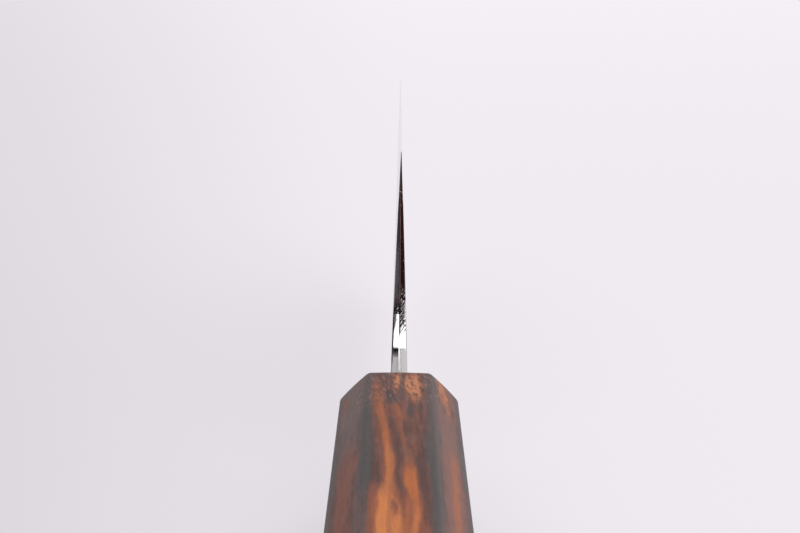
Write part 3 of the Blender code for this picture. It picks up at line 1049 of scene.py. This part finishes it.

# %% [markdown]
# The handle is figured wood: dark brown with orange strands that wind along the grain, dark veins between
# them, and a painted grey reflection along the corners, darker and greyer than the wood. Real strands have
# their own places, so each one is a smooth line through a few knots. A knot says how far behind the mouth
# it is, how far across, half as wide as the strand is there, and how strong.
# Chance then bends their outlines, and everything finer comes from stretched noise: streaks,
# flecks and pores. Away from the top facet the figure is chance alone.

# %% Strands and veins of the wood
CORNER_REFLECTION_BLACK = (0.034, 0.030, 0.030)
WOOD_DARK = (0.088, 0.036, 0.028)
WOOD_BROWN = (0.130, 0.049, 0.035)
WOOD_DUSK = (0.062, 0.036, 0.038)
CHAMFER_REFLECTION_GREY = (0.146, 0.114, 0.111)
WOOD_ROSE = (0.192, 0.098, 0.082)
WOOD_RED = (0.230, 0.070, 0.036)
FLECK_ROSE = (0.330, 0.170, 0.120)
WOOD_ORANGE = (0.420, 0.128, 0.030)
WOOD_PALE = (0.530, 0.188, 0.052)
WOOD_PEACH = (0.500, 0.208, 0.098)
GRAIN_AND_REFLECTION_GREY = (0.064, 0.054, 0.055)
# Some rows are painted reflection: the black bands just inside the top facet's corners, and the grey
# strand on the left chamfer. The grey patches near the front are grain and painted reflection together.
STRANDS = [
    (CHAMFER_REFLECTION_GREY, [(0, -7.2, 1.9, 0.8), (15, -7.3, 1.7, 0.75), (30, -7.5, 1.5, 0.6), (52, -7.7, 1.2, 0)]),
    (WOOD_RED, [(2, -8.9, 0.3, 0), (6, -8.6, 0.4, 0.8), (12, -8.5, 0.35, 0.6), (18, -8.5, 0.2, 0)]),
    (WOOD_RED, [(30, -7.2, 0.7, 0), (46, -7.6, 0.9, 0.45), (80, -7.9, 1.0, 0.55), (130, -8.2, 1.0, 0.5)]),
    (WOOD_ROSE, [(0, 7.0, 1.5, 0.65), (20, 7.2, 1.5, 0.85), (45, 7.5, 1.4, 0.95), (130, 8.4, 1.4, 0.5)]),
    (WOOD_PEACH, [(0, 6.4, 0.5, 0.5), (5, 6.7, 0.6, 0.7), (10, 7.0, 0.5, 0.6), (15, 7.3, 0.3, 0)]),
    (WOOD_PALE, [(5, 7.2, 0.1, 0), (9, 7.4, 0.12, 0.8), (15, 7.8, 0.12, 0.7), (20, 8.0, 0.1, 0)]),
    (WOOD_ORANGE, [
        (34, 7.8, 0.3, 0), (44, 7.9, 0.5, 0.4), (60, 7.9, 0.5, 0.5), (84, 8.0, 0.5, 0.4),
        (130, 8.3, 0.4, 0.3),
    ]),
    (WOOD_ORANGE, [
        (2, -3.7, 0.35, 0), (8, -3.6, 0.45, 0.35), (16, -3.2, 0.5, 0.45), (24, -2.8, 0.55, 0.55),
        (30, -2.35, 0.55, 0.65), (36, -2.05, 0.55, 0.8), (42, -1.75, 0.6, 0.9), (48, -1.4, 0.65, 1.1),
        (55, -1.42, 0.62, 1.1), (60, -1.3, 0.6, 1.0), (65, -0.8, 0.45, 0.8), (70, 0.05, 0.25, 0.5),
        (74, 0.35, 0.2, 0),
    ]),
    (WOOD_PALE, [
        (40, -1.8, 0.3, 0), (46, -1.45, 0.45, 0.8), (56, -1.4, 0.45, 0.9), (66, -1.3, 0.5, 0.9),
        (72, -1.0, 0.4, 0),
    ]),
    (WOOD_ORANGE, [
        (22, -0.2, 0.3, 0), (30, 0.0, 0.42, 0.3), (35, 0.3, 0.42, 0.2), (40, 0.95, 0.5, 0.25),
        (46, 1.2, 0.6, 0.2), (50, 1.4, 0.75, 0.4), (54, 1.5, 0.9, 0.75), (59, 1.5, 0.95, 1.0),
        (63, 1.7, 0.85, 0.9), (68, 2.2, 0.65, 0.9), (75, 2.3, 0.55, 1.0), (82, 1.8, 0.5, 1.0),
        (118, 1.6, 0.5, 0.9),
    ]),
    (WOOD_PALE, [
        (59, -1.8, 0.3, 0), (63, -2.0, 0.8, 0.6), (67, -1.9, 1.5, 0.9), (72, -1.7, 1.95, 1.0),
        (78, -1.4, 2.0, 1.0), (90, -1.3, 1.8, 1.0), (118, -1.1, 1.7, 0.9),
    ]),
    (WOOD_PALE, [(66, 2.2, 0.2, 0), (74, 2.3, 0.4, 0.6), (82, 1.8, 0.4, 0.7), (118, 1.6, 0.4, 0.6)]),
    (WOOD_ORANGE, [(64, 1.0, 0.25, 0), (70, 1.2, 0.4, 0.55), (82, 0.95, 0.4, 0.6), (118, 0.8, 0.4, 0.5)]),
    (WOOD_RED, [(58, -3.6, 0.3, 0), (64, -3.6, 0.6, 0.8), (72, -3.7, 0.7, 0.8), (118, -3.4, 0.7, 0.7)]),
    (WOOD_RED, [(74, 3.3, 0.5, 0), (82, 3.4, 0.9, 0.8), (100, 3.2, 0.9, 0.8), (118, 3.0, 0.9, 0.7)]),
    (WOOD_PEACH, [
        (-1, 0.1, 0.3, 0), (3, -0.1, 0.5, 0.8), (7, -0.4, 0.55, 1.1), (11, -0.6, 0.4, 0.8),
        (14, -0.8, 0.3, 0),
    ]),
    (WOOD_PEACH, [
        (0, 2.0, 0.6, 0), (4, 2.0, 1.0, 0.9), (8, 2.1, 1.25, 1.0), (13, 2.3, 1.1, 0.95),
        (17, 2.5, 0.7, 0.6), (20, 2.7, 0.3, 0),
    ]),
    (WOOD_ORANGE, [(17, -0.9, 0.2, 0), (20, -0.3, 0.25, 0.45), (24, -0.1, 0.25, 0.55), (28, 0.2, 0.3, 0)]),
    (WOOD_RED, [
        (17.5, -1.5, 0.4, 0), (20.5, -1.45, 0.65, 0.8), (24, -1.3, 0.6, 0.9), (27.5, -1.2, 0.4, 0),
    ]),
    (WOOD_DARK, [(21, -1.5, 0.15, 0), (23.5, -1.45, 0.2, 0.7), (26, -1.4, 0.15, 0)]),
    (WOOD_DARK, [
        (5, 2.3, 0.1, 0), (8, 1.9, 0.12, 0.6), (12, 1.95, 0.14, 0.9), (16, 2.6, 0.12, 0.7),
        (19, 3.2, 0.1, 0),
    ]),
    (WOOD_DARK, [
        (26, -1.4, 0.25, 0), (30, -1.2, 0.4, 0.9), (36, -0.7, 0.4, 0.85), (42, -0.35, 0.45, 0.9),
        (49, -0.2, 0.35, 0.9), (55, -0.35, 0.38, 0.9), (60, -0.1, 0.4, 0.85), (64, 0.3, 0.3, 0.5),
        (68, 0.7, 0.2, 0),
    ]),
    (WOOD_RED, [(66, -0.65, 0.3, 0), (70, -0.55, 0.36, 1.0), (73, -0.5, 0.34, 0.9), (77, -0.5, 0.2, 0)]),
    (WOOD_DARK, [
        (26, 2.4, 0.3, 0), (33, 2.7, 0.35, 0.8), (40, 3.0, 0.5, 0.5), (50, 3.2, 0.6, 0.8),
        (60, 3.4, 0.8, 0.9), (68, 3.8, 0.5, 0.7), (78, 4.1, 0.4, 0),
    ]),
    (WOOD_DARK, [(28, 0.7, 0.2, 0), (31, 0.85, 0.28, 0.8), (35, 1.15, 0.28, 0.7), (39, 1.5, 0.2, 0)]),
    (GRAIN_AND_REFLECTION_GREY, [
        (9, -1.9, 0.3, 0), (12, -1.6, 0.65, 0.7), (15, -1.35, 0.8, 0.9), (18, -1.3, 0.6, 0.8),
        (20.5, -1.2, 0.3, 0),
    ]),
    (WOOD_DUSK, [
        (0, -3.7, 0.3, 0.5), (3, -3.2, 0.35, 0.85), (8, -2.4, 0.35, 0.85), (13, -1.4, 0.35, 0.9),
        (18, -0.3, 0.25, 0.7), (22, 0.3, 0.15, 0),
    ]),
    (WOOD_DUSK, [(0, -2.5, 0.2, 0.5), (5, -1.7, 0.3, 0.8), (10, -0.8, 0.3, 0.8), (15, 0.1, 0.15, 0)]),
    (GRAIN_AND_REFLECTION_GREY, [(0, 0.65, 0.4, 0.8), (5, 0.6, 0.35, 0.8), (14, 0.55, 0.25, 0.7), (18, 0.6, 0.2, 0)]),
    (GRAIN_AND_REFLECTION_GREY, [(20, 1.7, 0.2, 0), (22, 1.8, 0.4, 0.8), (25, 1.8, 0.4, 0.8), (27, 1.8, 0.2, 0)]),
    (GRAIN_AND_REFLECTION_GREY, [(0, -1.7, 0.7, 0.5), (3, -1.9, 0.6, 0.4), (7, -2.2, 0.3, 0)]),
    (CORNER_REFLECTION_BLACK, [(15, -4.9, 0.6, 0), (28, -4.9, 0.8, 0.7), (55, -4.8, 0.8, 0.7), (68, -4.9, 0.5, 0)]),
    (CORNER_REFLECTION_BLACK, [(38, 5.1, 0.4, 0), (48, 5.2, 0.6, 0.6), (60, 5.3, 0.7, 0.6), (75, 5.4, 0.4, 0)]),
    (WOOD_DARK, [(9, 8.2, 0.1, 0), (14, 8.3, 0.16, 0.8), (20, 8.5, 0.1, 0)]),
]


print(len(STRANDS), "strands and veins")

# %% [markdown]
# Wood fibres wind round knots, so nothing in them is straight. A Wood first bends its coordinates
# by chance, in large waves and then in small ones, and measures its figure in the bent ones. That
# bends all of it at once, where bending each strand alone would let them cross.

# %% Winding fibres
FLECK_SLANT = 0.19
FRONT_BEHIND = (25.0, 12.0)


class Wood(Finish):
    """Bent coordinates, and the chance values that the steps of the finish share.

    Behind is the distance from the mouth towards the butt. Front is 1 near the mouth.
    """

    def __init__(self, name):
        super().__init__(name)
        self.wavy = self.bent(self.where, (2.6, 13.0, 5.0), 3.1, (0.8, 3.0, 0.8))
        bent = self.bent(self.wavy, (0.9, 6.0, 1.5), 7.7, (0.6, 4.0, 0.6))
        self.across, ahead, self.up = self.split(bent)
        self.behind = 0.0 - ahead
        slant = self.node("CombineXYZ", 0, {0: ahead * FLECK_SLANT})
        slanted = self.vector("ADD", self.wavy, slant)
        curly = self.bent(slanted, (1.0, 2.6, 1.0), 12.2, (1.3, 1.8, 0.6))
        self.streak = self.noise((1.2, 24.0, 1.2), 1.3, 4.0, self.wavy)
        self.glow = self.noise((1.3, 9.0, 1.3), 6.6, 2.0, self.wavy)
        self.fine = self.noise((0.16, 11.0, 0.16), 2.4, 3.0, self.wavy)
        self.fleck = self.noise((0.45, 2.6, 0.45), 8.2, 4.0, slanted)
        self.line = self.noise((0.24, 3.6, 0.24), 4.9, 3.0, curly)
        self.front = self.smooth(self.behind, *FRONT_BEHIND)


wood = Wood("handle_wood")
print("nodes for the winding fibres:", len(wood.tree.nodes))

# %% [markdown]
# The sides and the top facet have a figure each. On the sides it is chance alone. On the top facet
# every strand of the table is laid over the streaks in turn, as a mix by its share. Bright strands
# also glow red a little way round their outline, as oiled wood does.

# %% Figure of the wood
STRAND_EDGE = (0.38, -0.38)
STRAND_HALO = (1.1, 0.0)
BRIGHT_STRANDS = (WOOD_ORANGE, WOOD_PALE, WOOD_PEACH)


def side_figure(wood):
    """Streaks from dark brown to orange, with broad warm bands."""
    figure = wood.ramp(wood.streak, [
        (0.30, WOOD_DARK), (0.46, WOOD_BROWN), (0.60, WOOD_RED), (0.74, WOOD_ORANGE)
    ])
    warm = wood.smooth(wood.noise((3.4, 60.0, 3.4), 5.9, 2.0, wood.wavy), 0.54, 0.66)
    return wood.mix(warm * 0.75, figure, wood.mix(wood.glow, WOOD_ORANGE, WOOD_PALE))


def strand(wood, ragged, knots):
    """Shares of a strand and of its wider halo at each point, both already times its strength.

    The outline is where the distance from the strand's middle equals half its width.
    """
    middle, half, strength = wood.curves(wood.behind, knots)
    outside = abs(wood.across - middle) - half + ragged
    return [wood.smooth(outside, *ends) * strength for ends in (STRAND_EDGE, STRAND_HALO)]


def top_figure(wood):
    """Darker streaks that turn rosy in spots and at the front, and every strand in its place."""
    figure = wood.ramp(wood.streak, [
        (0.28, GRAIN_AND_REFLECTION_GREY), (0.42, WOOD_DARK), (0.54, WOOD_BROWN), (0.72, WOOD_RED)
    ])
    spots = wood.smooth(wood.noise((1.0, 7.0, 1.0), 9.4, 2.0, wood.wavy), 0.42, 0.66)
    figure = wood.mix(spots * 0.55, figure, WOOD_ROSE)
    figure = wood.mix(wood.front * 0.35, figure, WOOD_ROSE)
    ragged = (wood.fleck - 0.5) * (wood.front * 1.7 + 0.45) + (wood.fine - 0.5) * 0.3
    for colour, knots in STRANDS:
        share, halo = strand(wood, ragged, knots)
        if colour in BRIGHT_STRANDS:
            figure = wood.mix(halo * 0.55, figure, WOOD_RED)
            share = share * (0.62 + wood.glow * 0.76)
        figure = wood.mix(share, figure, colour)
    return figure


side, top = side_figure(wood), top_figure(wood)
print("with both figures:", len(wood.tree.nodes), "nodes")

# %% [markdown]
# Over both figures come the ends, the painted grey reflection along the corners, fine cracks and pale
# flecks, and the oil, which deepens dark wood more than pale, as a power a little above one does. The
# pores between the fibres are sunk in by a bump, because real dents that fine would need millions of
# faces.

# %% Finish of the wood
TOP_UP = (3.0, 6.5)
TOP_FACET_UP = (9.5, 11.0)
CORNER_REFLECTION_REACH = (1.6, 0.6)
WEAKER_REFLECTION_BEHIND = (50.0, 80.0)
WEAKER_REFLECTION_ACROSS = (0.0, -1.0)
PITH = (-16.0, 0.0, -30.0)
RING_TURNS = 4.2
OILED_GAMMA = 1.11
WOOD_SPECULAR = 0.17


def end_grain(wood):
    """Share and colour of the wood at both ends: growth rings, that is arcs round the tree's pith.

    The rings are a sine of the distance from a line far below the handle and to its left.
    """
    level = wood.vector("MULTIPLY", wood.wavy, (1.0, 0.0, 1.0))
    from_pith = wood.node("VectorMath", "Value", {0: level, 1: PITH}, operation="DISTANCE")
    ring = wood.math("SINE", from_pith * RING_TURNS + wood.streak * 5.0)
    colour = wood.mix(wood.smooth(ring, -0.6, 0.9), WOOD_DARK, WOOD_BROWN)
    return wood.smooth(abs(wood.facing()[1]), 0.55, 0.85), colour


def finish_wood(wood, side, top):
    """The colour is mixed layer over layer. The light on it is the sum of fine chance and pores."""
    colour = wood.mix(wood.smooth(wood.up, *TOP_UP), side, top)
    at_end, rings = end_grain(wood)
    colour = wood.mix(at_end * 0.85, colour, rings)
    # Painted grey reflection along the rounded corners, weaker on the left towards the butt. The corners
    # are also a little smoother.
    corner_reflection = wood.smooth(wood.mark() + (wood.streak - 0.5) * 1.8, *CORNER_REFLECTION_REACH)
    weaker_reflection = wood.smooth(wood.behind, *WEAKER_REFLECTION_BEHIND) * wood.smooth(wood.across, *WEAKER_REFLECTION_ACROSS)
    colour = wood.mix(corner_reflection * (0.8 - weaker_reflection * 0.35), colour, GRAIN_AND_REFLECTION_GREY)
    on_top = wood.smooth(wood.up, *TOP_FACET_UP)
    cracks = wood.smooth(wood.line, 0.54, 0.62) * (0.06 + wood.front * (0.27 + on_top * 0.45))
    colour = wood.mix(cracks, colour, WOOD_DARK)
    flecks = wood.smooth(wood.line, 0.45, 0.36) * wood.front * (0.14 + on_top * 0.40)
    colour = wood.mix(flecks, colour, FLECK_ROSE)
    colour = wood.node("Gamma", 0, {"Color": colour, "Gamma": OILED_GAMMA})
    pore = wood.smooth(wood.noise((0.07, 5.0, 0.07), 4.4, 1.0, wood.wavy), 0.60, 0.75)
    light = 0.79 + wood.fine * 0.38 + wood.fleck * 0.30 - pore * 0.26
    rough = 0.44 + wood.fine * 0.12 + pore * 0.12 - corner_reflection * 0.06
    normal = wood.bump(0.5 + wood.fine * 0.3 - pore * 0.4 - cracks * 0.4, 0.016, 0.6)
    return wood.finished(
        Base_Color=wood.vector("SCALE", colour, light), Roughness=rough, Normal=normal,
        Specular_IOR_Level=WOOD_SPECULAR
    )


handle.data.materials.append(finish_wood(wood, side, top))

# %% [markdown]
# Two tools left marks on the choil. A needle file left slanting strokes across its lower half, which a
# painted dark reflection darkens, and the grinding left nicks along the heel. A painted shade lies along
# the choil's eased left corner. They could be painted on an image. Here each is a small formula, because
# that is tuned by its numbers and keeps its place on the steel whatever the mesh is like.

# %% Marks of the tools, and a painted shade
STROKE_TURNS = (12.5, 8.5)
STROKE_FOOT_LEFT = (13.4, 15.6)
STROKE_FOOT_RIGHT = (13.2, 14.6)
STROKE_HEAD = (22.5, 18.5)
SCRATCH_UP = 37.4
SCRATCH_SLOPE = 0.3
SPECKS_FOOT = (19.0, 21.0)
LEFT_SIDE = 1.864
LEFT_SIDE_TAPER = 0.058
CORNER_SHADE_FOOT = (13.2, 15.8)
CORNER_SHADE_HEAD = (18.8, 17.2)
CORNER_SHADE_AHEAD = (18.5, 17.0)


def file_marks(steel):
    """Slanting strokes across the choil's lower half, as a needle file leaves them.

    A stroke is where a sine of across and up is near its crest. Chance bends it and breaks it up.
    """
    turns_across, turns_up = STROKE_TURNS
    bend = steel.noise((0.6, 3.0, 1.2), 9.3) * 6.0
    stroke = steel.math("SINE", steel.across * turns_across - steel.up * turns_up + bend)
    left = 0.18 * steel.smooth(steel.across, -0.15, -0.3) * steel.smooth(steel.up, *STROKE_FOOT_LEFT)
    right = steel.smooth(steel.across, 0.12, 0.25) * steel.smooth(steel.up, *STROKE_FOOT_RIGHT)
    zone = (left + right) * steel.smooth(steel.up, *STROKE_HEAD)
    broken = steel.smooth(steel.noise((0.4, 2.0, 0.9), 2.9), 0.36, 0.52)
    return steel.smooth(stroke, -0.2, 0.9) * zone * broken


def nicks(steel):
    """Small bright nicks along the heel: one scratch across it, and specks left to chance."""
    height = steel.up + steel.across * SCRATCH_SLOPE
    scratch = steel.smooth(abs(height - SCRATCH_UP), 0.10, 0.03)
    specks = steel.smooth(steel.noise((0.14, 0.5, 0.16), 3.9, detail=0.0), 0.74, 0.80)
    return steel.math("MAXIMUM", scratch, specks) * steel.smooth(steel.up, *SPECKS_FOOT)


def corner_shade(steel):
    """Painted shade on the choil's eased left corner, wider where the choil is higher.

    The steel's left side lies at LEFT_SIDE, less LEFT_SIDE_TAPER for each millimetre of height.
    """
    inside = steel.across + LEFT_SIDE - steel.up * LEFT_SIDE_TAPER
    width = 0.12 + steel.smooth(steel.up, *CORNER_SHADE_FOOT) * 0.30
    ragged = steel.noise((0.3, 1.0, 0.8), 6.8) * 0.16 - 0.08
    corner = steel.smooth(inside - width + ragged, 0.06, -0.08)
    return corner * steel.smooth(steel.up, *CORNER_SHADE_HEAD) * steel.smooth(steel.ahead, *CORNER_SHADE_AHEAD)


print("a stroke every", round(2 * np.pi / np.hypot(*STROKE_TURNS), 2), "mm")

# %% [markdown]
# All three layers were ground and polished together, so they share a class. The sides are satin:
# fine lines from the stone run along the bevel. The rim was polished after that, so it mirrors.
# The lines only tilt the light and change the roughness, since real grooves would be finer than
# the mesh.

# %% Ground and polished steel
LINE_SEED = 6.1
STROKE_DEPTH = 0.055


class Steel(Finish):
    """One steel of the blade: satin sides with fine lines from the stone, and a polished rim.

    The rim is where the surface faces along the blade or up and down.
    """

    def __init__(self, name, fine, coarse):
        super().__init__(name)
        self.lines = self.noise(fine, LINE_SEED, detail=3.0)
        self.coarse = self.noise(coarse, LINE_SEED, detail=3.0)
        self.rim = self.smooth(abs(self.facing()[0]), 0.75, 0.45)
        self.strokes = file_marks(self)

    def painted_glance(self):
        """For a painted highlight: 1 where the steel is seen almost edge on and its colour is made whiter,
        0 where it is faced.
        """
        return self.smooth(self.node("LayerWeight", "Facing", {"Blend": 0.5}), 0.74, 0.95)

    def ground(self, colour, satin, haze, line_depth):
        """Satin on the sides and polish on the rim, with the lines and strokes sunk in."""
        rough = satin * (1.0 - self.rim) + self.rim * (0.03 + haze * 0.03 + nicks(self) * 0.5)
        lined = self.bump(self.lines, line_depth, 0.5)
        filed = self.bump(self.strokes * self.rim, STROKE_DEPTH, 1.0, Normal=lined)
        return self.finished(Base_Color=colour, Roughness=rough, Normal=filed, Metallic=1.0)


print("a steel adds to the finish:", [key for key in vars(Steel) if key[0] != "_"])

# %% [markdown]
# The two sides of the blade are the softer and duller steel. Where the bevel cuts through the weld,
# a thin bright line wanders along the blade, and on the rim a dark line lies beside the core. The
# mark on the mesh says how far above the weld line a point lies. So the bright line follows the
# bevel exactly, which an image would only do after careful unwrapping.

# %% Finish of the cladding steel
STROKE_REFLECTION_HEAD = (17.2, 16.0)
WELD_ACROSS = (0.47, 0.41)
SATIN_GREY = (0.545, 0.543, 0.552)
SATIN_PALE = (0.595, 0.592, 0.60)
WELD_PALE = (0.80, 0.80, 0.81)
SATIN_GLANCE_HIGHLIGHT = (0.98, 0.975, 0.98)
RIM_PALE = (0.66, 0.65, 0.63)
RIM_WELD = (0.16, 0.14, 0.14)
STROKE_DARK_REFLECTION = (0.05, 0.04, 0.045)
LEFT_CORNER_SHADE = (0.06, 0.055, 0.06)


def finish_cladding():
    """Satin, a bright weld line and a painted glancing highlight on the sides, over them the rim and the
    painted shade on the left corner.
    """
    steel = Steel("cladding_steel", (0.9, 26.0, 0.055), (2.5, 48.0, 0.45))
    cloud = steel.noise((9.0, 16.0, 9.0), 3.3, detail=3.0)
    haze = steel.noise((0.5, 2.0, 0.35), 5.7)
    colour = steel.mix(steel.smooth(cloud, 0.30, 0.70), SATIN_GREY, SATIN_PALE)
    colour = steel.vector("SCALE", colour, 0.82 + steel.lines * 0.12 + steel.coarse * 0.24)
    colour = steel.mix(steel.smooth(steel.mark() + haze * 0.5, -0.50, 0.0), colour, WELD_PALE)
    # Painted highlight: the colour turns whiter where the steel is seen almost edge on.
    colour = steel.mix(steel.painted_glance(), colour, SATIN_GLANCE_HIGHLIGHT)
    weld = steel.smooth(abs(steel.across), *WELD_ACROSS)
    polished = steel.mix(weld * 0.7, RIM_PALE, RIM_WELD)
    # The file strokes are darkened on the rim by a painted dark reflection, on the choil's lower part.
    dark = steel.strokes * steel.smooth(steel.up, *STROKE_REFLECTION_HEAD) * 0.9
    colour = steel.mix(steel.rim, colour, steel.mix(dark, polished, STROKE_DARK_REFLECTION))
    off_the_side = steel.smooth(steel.facing()[0], -0.985, -0.95)
    # Painted shade along the choil's eased left corner.
    colour = steel.mix(corner_shade(steel) * off_the_side * 0.95, colour, LEFT_CORNER_SHADE)
    satin = 0.12 + steel.lines * 0.12 + steel.coarse * 0.08 + cloud * 0.04
    return steel.ground(colour, satin, haze, 0.002)


cladding_finish = finish_cladding()
for node in ("cladding_left", "cladding_right"):
    blade[node].data.materials.append(cladding_finish)

# %% [markdown]
# The core is harder and purer steel. Above the weld line it shows brighter, with finer lines, and
# a clouded strip right beside the weld. On the choil it has begun to darken a little in spots, as
# such steel does where water stays longest.

# %% Finish of the core steel
CORE_GREY = (0.66, 0.665, 0.68)
CORE_PALE = (0.74, 0.745, 0.76)
CORE_CLOUD = (0.50, 0.50, 0.515)
CORE_GLANCE_HIGHLIGHT = (0.985, 0.98, 0.985)
CORE_RIM = (0.67, 0.675, 0.69)
CORE_STAIN = (0.59, 0.57, 0.59)


def finish_core():
    """Satin from grey to pale, clouded up to a few millimetres above the weld, and the rim."""
    steel = Steel("core_steel", (0.9, 30.0, 0.04), (2.5, 60.0, 0.30))
    cloud = steel.noise((7.0, 12.0, 7.0), 8.8)
    haze = steel.noise((0.4, 1.4, 0.3), 1.9, detail=3.0)
    clouded = steel.smooth(steel.mark() + haze * 1.8, 3.0, 0.9)
    colour = steel.vector("SCALE", steel.mix(cloud, CORE_GREY, CORE_PALE), 0.92 + steel.coarse * 0.16)
    colour = steel.mix(clouded * 0.6, colour, CORE_CLOUD)
    # Painted highlight: the colour turns whiter where the steel is seen almost edge on.
    colour = steel.mix(steel.painted_glance(), colour, CORE_GLANCE_HIGHLIGHT)
    stained = steel.smooth(steel.noise((0.3, 1.5, 1.5), 4.1), 0.30, 0.62)
    colour = steel.mix(steel.rim, colour, steel.mix(stained, CORE_RIM, CORE_STAIN))
    satin = 0.08 + steel.lines * 0.09 + steel.coarse * 0.05 + clouded * 0.10
    return steel.ground(colour, satin, haze, 0.0015)


blade["blade_core"].data.materials.append(finish_core())

# %% [markdown]
# The bedding is dark resin, poured round the tang. Only its front rim shows, just inside the
# mouth, so the packed solid stays and gets a finish of its own: small bubbles, sanding dust and
# a slightly uneven skin.

# %% Finish of the bedding
RESIN_DARK = (0.028, 0.020, 0.016)
RESIN_PALE = (0.075, 0.050, 0.036)
DUST = (0.20, 0.15, 0.12)


def finish_resin():
    """Bubbles and dust are where a chance value passes a limit. Bubbles are pits, dust is pale."""
    resin = Finish("bedding_resin")
    cloud = resin.noise((1.4, 1.4, 1.4), 2.2, detail=3.0)
    bubble = resin.smooth(resin.noise((0.25, 0.25, 0.25), 7.0, detail=1.0), 0.66, 0.72)
    dust = resin.smooth(resin.noise((0.12, 0.12, 0.12), 5.1), 0.58, 0.70)
    colour = resin.mix(dust * 0.35, resin.mix(cloud, RESIN_DARK, RESIN_PALE), DUST)
    rough = 0.30 + cloud * 0.15 + dust * 0.2
    pits = resin.bump(1.0 - bubble, 0.05, 0.7)
    return resin.finished(Base_Color=colour, Roughness=rough, Normal=pits)


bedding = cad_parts["tang_bedding"]
bedding.material_slots[0].material = finish_resin()

# %% [markdown]
# Blender's usual view softens bright colours as film does. The standard view keeps the pale floor as it
# was chosen.

# %% Look
bpy.context.scene.view_settings.view_transform = "Standard"
